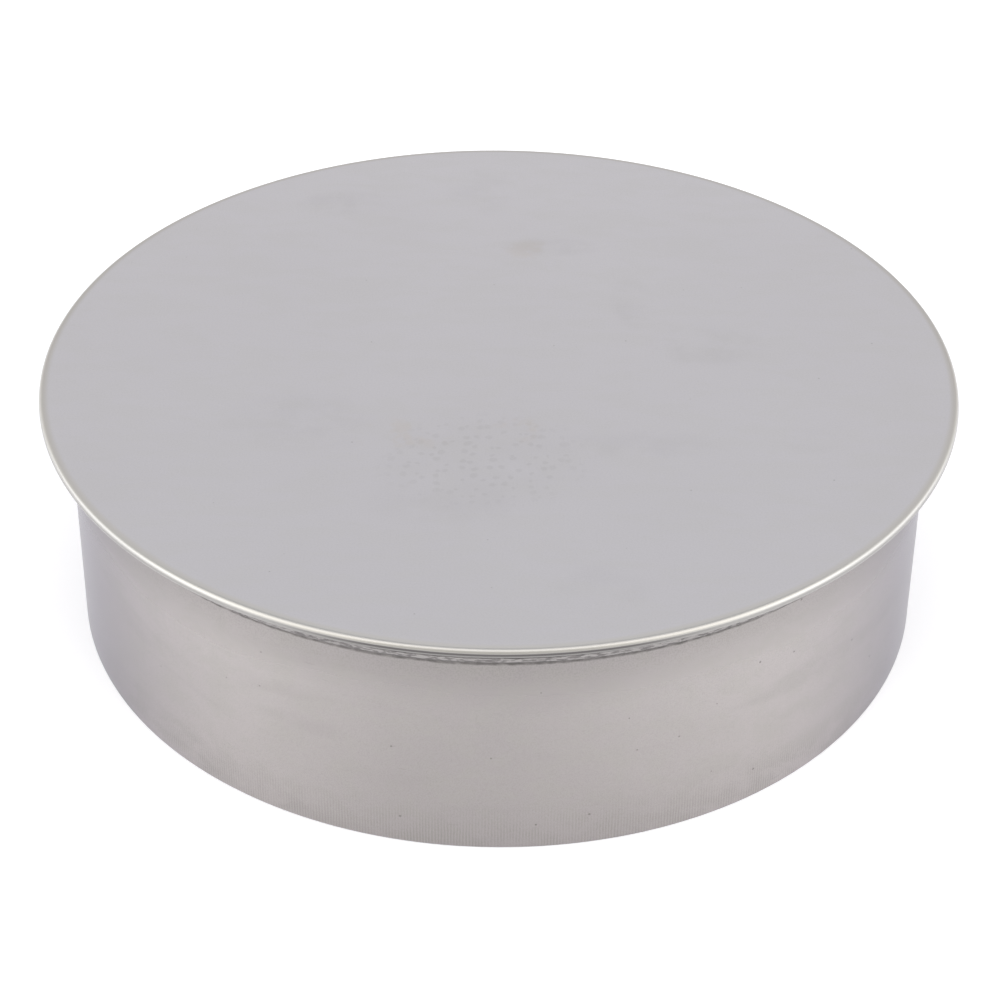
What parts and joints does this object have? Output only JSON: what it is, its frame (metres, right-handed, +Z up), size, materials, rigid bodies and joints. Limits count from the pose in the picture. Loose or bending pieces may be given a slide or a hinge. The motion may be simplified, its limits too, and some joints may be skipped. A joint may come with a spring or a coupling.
{
  "type": "cheese mold",
  "caption": "Round steel cheese mold: straight rolled wall, perforated base, loose pressing follower, and a flat overhanging lid with a rolled rim and a locating collar.",
  "frame": {"origin": "centre of the mould's bottom edge, on the surface that it stands on", "axes": "+Z up along the mould's axis; +X to the right of a viewer who looks along +Y, across both follower handles"},
  "size_m": [0.2704, 0.2704, 0.0756],
  "materials": {
    "wall_steel": "fine satin, slightly warm",
    "base_steel": "satin",
    "lid_steel": "matt satin, slightly cool",
    "wire_steel": "drawn wire",
    "collar_steel": "satin, rubbed along its hem",
    "follower_steel": "satin",
    "pad_steel": "turned",
    "handle_steel": "polished round bar"
  },
  "bodies": {
    "mould": {"mould_wall": "wall_steel", "base_plate": "base_steel"},
    "lid": {"lid_disc": "lid_steel", "lid_rim_wire": "wire_steel", "lid_collar": "collar_steel"},
    "follower": {"follower_plate": "follower_steel", "follower_pad": "pad_steel", "follower_handle_left": "handle_steel", "follower_handle_right": "handle_steel"}
  },
  "joints": [
    {"name": "lid_lift", "type": "slide", "parent": "mould", "child": "lid", "axis": [0, 0, 1], "range_m": [0, 0.12]},
    {"name": "follower_slide", "type": "slide", "parent": "mould", "child": "follower", "axis": [0, 0, 1], "range_m": [0, 0.045]}
  ]
}
